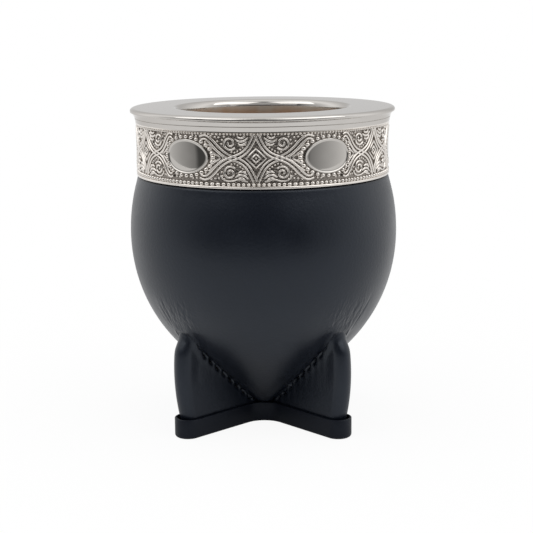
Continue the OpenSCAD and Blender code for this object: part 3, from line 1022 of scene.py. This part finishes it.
def press(depths):
    """Move the outer skin in along its own normals by a depth, in millimetres, for each point."""
    cloth = bmesh.new()
    cloth.from_mesh(sheath.data)
    cloth.normal_update()
    cloth.verts.ensure_lookup_table()
    moves = [-vertex.normal * depth * MM for vertex, depth in zip(cloth.verts, depths)]
    for vertex, move in zip(cloth.verts, moves):
        vertex.co += move
    cloth.to_mesh(sheath.data)
    cloth.free()


skin = [vertex.co.copy() for vertex in sheath.data.vertices[:skin_points]]
places = [fin_place(point) for point in skin]
ripples = [0.10 * (0.5 + noise.noise(point * 45)) if point.z < 74 * MM else 0.0 for point in skin]
depths = [pressed_depth(*place) for place in places]
press([depth + ripple for depth, ripple in zip(depths, ripples)])
print("deepest press:", round(max(depths), 2), "mm")

# %% Soften the fin tops
soft_from, soft_width = 25.0, 1.6
select(sheath)
edit()
bpy.ops.mesh.select_mode(type="VERT")
bpy.ops.mesh.select_all(action="DESELECT")
leave_edit()
for index, (point, fin) in enumerate(places):
    on_top = point.x > soft_from and lip_z + 1 < point.z < fin_top_z + 3
    sheath.data.vertices[index].select = on_top and abs(past_seam(point)) < soft_width
print("softened points:", sum(vertex.select for vertex in sheath.data.vertices))
bpy.ops.object.mode_set(mode="EDIT")
bpy.ops.mesh.vertices_smooth(factor=0.5, repeat=6)
leave_edit()

# %% Stitch slits
slit_pull, slit_limit = 1.4, 1.35


def slit_depth(point, fin):
    """Depth of the slits that the stitches pull into the crease."""
    past = past_seam(point)
    if point.x < 8 or point.z > fin_top_z or abs(past) > 3:
        return 0.0
    beat, stray = stitch_beat(point, fin)
    opened = bell(min(past + 0.15, 0.0), 0.6) * bell(max(past, 0.0), 0.08)
    return min(slit_limit, slit_pull * sewn_share(point.x) * (1.0 + 0.7 * stray) * beat ** 2.5 * opened)


press([slit_depth(*place) for place in places])
bpy.ops.object.shade_smooth_by_angle(angle=radians(75))
fit_out(sheath, black_leather, ["leather_sheath"])

# %% [markdown]
# ## Seam threads
# One waxed thread sews each fin with a running stitch: it lies along the crease for one step on
# one side, goes through the fin and comes back a step further on. The thread is a curve through
# those points. Its section is an ellipse that turns along the way, like two twisted plies.

# %% Section of the thread
thread_r, ply_flatness, ply_twist = 0.4, 0.62, 0.9
plies = added(bpy.ops.curve.primitive_bezier_circle_add, radius=thread_r * MM)
plies.name = "thread_section"
plies.scale = (1.0, ply_flatness, 1.0)
settle(scale=True)
plies.data.resolution_u = 3
print("thread section:", 2 * thread_r, "mm wide")

# %% Threads
arch = [(0.0, 1.2), (0.1, 1.9), (0.3, 2.3), (0.5, 2.4)]
arch += [(1 - share, rise) for share, rise in reversed(arch[:-1])]


def seam_hole(number):
    """Place of a hole along a fin's seam: distance along the fin, and height."""
    way = (number + 1) * stitch
    r = seam_start[0] + way * sin(keel)
    return Vector((sqrt(r * r - fin_half ** 2), seam_start[1] + way * cos(keel)))


def sewn_thread(name, turn):
    """Lay one thread through all the holes of a fin, in an arch from hole to hole."""
    route = []
    for number in range(2 * stitches - 1):
        start, end = seam_hole(number), seam_hole(number + 1)
        side = 1 if number % 2 == 0 else -1
        for share, rise in arch:
            place = start.lerp(end, share)
            route.append(Vector((place.x, side * rise, place.y)))
    about = Matrix.Rotation(radians(turn), 3, "Z")
    thread, knots = curve_through([about @ point for point in route])
    thread.name = name
    for number, knot in enumerate(knots):
        knot.tilt = ply_twist * number
    thread.data.resolution_u = 4
    thread.data.bevel_mode = "OBJECT"
    thread.data.bevel_object = plies
    thread.data.use_fill_caps = True
    bpy.ops.object.convert(target="MESH")
    edit()
    close_up()
    leave_edit(smooth=60)
    return thread


for corner, turn in corners.items():
    thread = sewn_thread("sewn_thread_" + corner, turn)
    fit_out(thread, waxed_thread, ["seam_thread_" + corner])
bpy.data.objects.remove(plies)

# %% [markdown]
# ## Sole
# The sole is a rubber tray in the shape of an X, whose thin lip holds the four fins. A square
# gives out four arms; the corners are rounded while it is still one flat face, because a corner
# of a flat face rounds cleanly. Then it is raised, inset for the lip and sunk for the tray.

# %% Sole outline
sole_half, sole_reach, lip_t, arm_fillet = 4.1, 35.8, 0.8, 6.5
sole = added(bpy.ops.mesh.primitive_plane_add, size=2 * sole_half * MM)
sole.name = "tray_sole"
sole.rotation_euler[2] = radians(45)
settle(rotation=True)
edit()


def pick(kind, wanted):
    """In edit mode: select the sole's edges, by both ends, or its vertices that pass a test."""
    bpy.ops.mesh.select_mode(type=kind)
    bpy.ops.mesh.select_all(action="DESELECT")
    shape = bmesh.from_edit_mesh(sole.data)
    for item in shape.edges if kind == "EDGE" else shape.verts:
        ends = item.verts if kind == "EDGE" else [item]
        item.select_set(wanted(*[end.co / MM for end in ends]))
    shape.select_flush_mode()
    bmesh.update_edit_mesh(sole.data)


for turn in turns:
    way = Vector((cos(radians(turn)), sin(radians(turn)), 0))
    pick("EDGE", lambda a, b: abs((a + b).dot(way) / 2 - sole_half) < 0.01
         and (a + b).length / 2 < sole_half + 0.01)
    bpy.ops.mesh.extrude_edges_move(TRANSFORM_OT_translate={"value": way * (sole_reach - sole_half) * MM})
bpy.ops.mesh.select_mode(type="FACE")
bpy.ops.mesh.select_all(action="SELECT")
bpy.ops.mesh.dissolve_faces()
print("sole outline corners:", len(bmesh.from_edit_mesh(sole.data).verts))

# %% Round the corners
pick("VERT", lambda corner: corner.length > 30)
bpy.ops.mesh.bevel(offset=sole_half * 0.999 * MM, segments=14, affect="VERTICES", clamp_overlap=False)
pick("VERT", lambda corner: corner.length < 10)
bpy.ops.mesh.bevel(offset=arm_fillet * MM, segments=12, affect="VERTICES", clamp_overlap=False)
bpy.ops.mesh.select_all(action="SELECT")
bpy.ops.mesh.remove_doubles(threshold=0.02 * MM)
print("rounded outline points:", len(bmesh.from_edit_mesh(sole.data).verts))

# %% Raise the sole and sink its tray
bpy.ops.mesh.select_all(action="SELECT")
raise_faces(lip_z)
bpy.ops.mesh.inset(thickness=lip_t * MM)
raise_faces(foot_z - lip_z)
close_up()
pick("EDGE", lambda a, b: abs(a.z) + abs(b.z) < 0.01)
bpy.ops.mesh.bevel(offset=0.8 * MM, segments=4)
pick("EDGE", lambda a, b: min(a.z, b.z) > lip_z - 0.01)
bpy.ops.mesh.bevel(offset=0.3 * MM, segments=3)
close_up()
leave_edit(smooth=40)
fit_out(sole, satin_rubber, ["sole"])

# %% [markdown]
# ## Stiffeners
# A stiff board inside each fin keeps it upright. The leather hides it, so the CAD shape is right
# as it is and only takes the leather's finish.

# %% Stiffeners inside the fins
for corner in corners:
    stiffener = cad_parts["foot_stiffener_" + corner]
    for seat in stiffener.material_slots:
        seat.material = black_leather
print("stiffeners keep their CAD shape")
